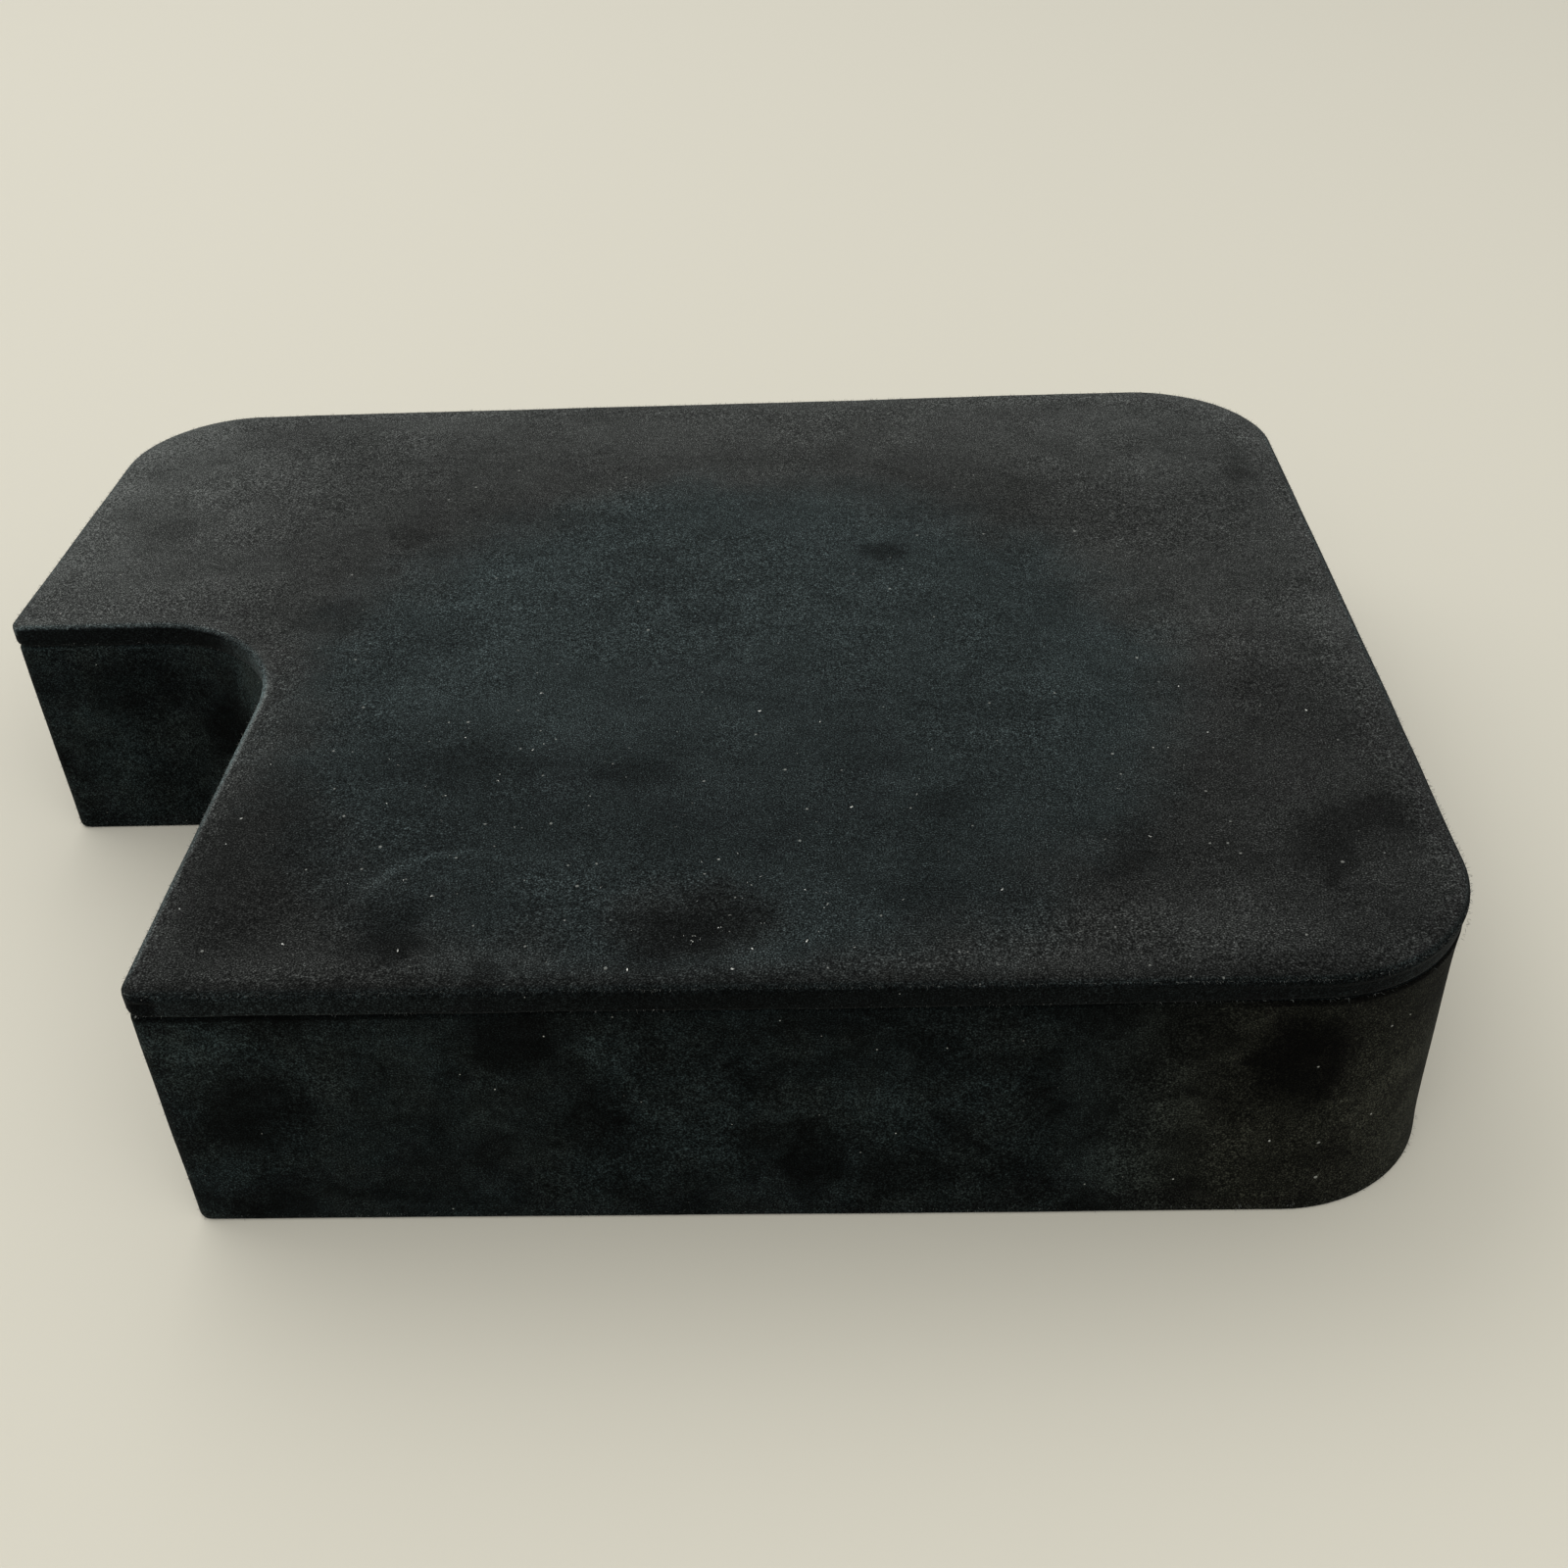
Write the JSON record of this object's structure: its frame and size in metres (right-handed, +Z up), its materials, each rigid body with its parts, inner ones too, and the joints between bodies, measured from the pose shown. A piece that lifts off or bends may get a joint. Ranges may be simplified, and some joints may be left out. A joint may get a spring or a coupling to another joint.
{
  "type": "foam block",
  "caption": "Low rectangular foam block with rounded corners and one corner notched out, covered in dark suede, with a separate thin covered panel on top.",
  "frame": {"origin": "middle of the plan's bounding box, on the surface that the block stands on", "axes": "+X along the longest side, away from the notch; +Y from the notched side to the plain back; +Z up, through the thickness"},
  "size_m": [0.2, 0.158, 0.0386],
  "materials": {
    "foam": "matte",
    "side_suede": "matte",
    "lining": "matte",
    "board": "matte",
    "top_suede": "matte"
  },
  "bodies": {
    "root": {"foam_core": "foam", "side_band": "side_suede", "base_sheet": "lining", "top_board": "board", "top_cover": "top_suede"}
  },
  "joints": []
}
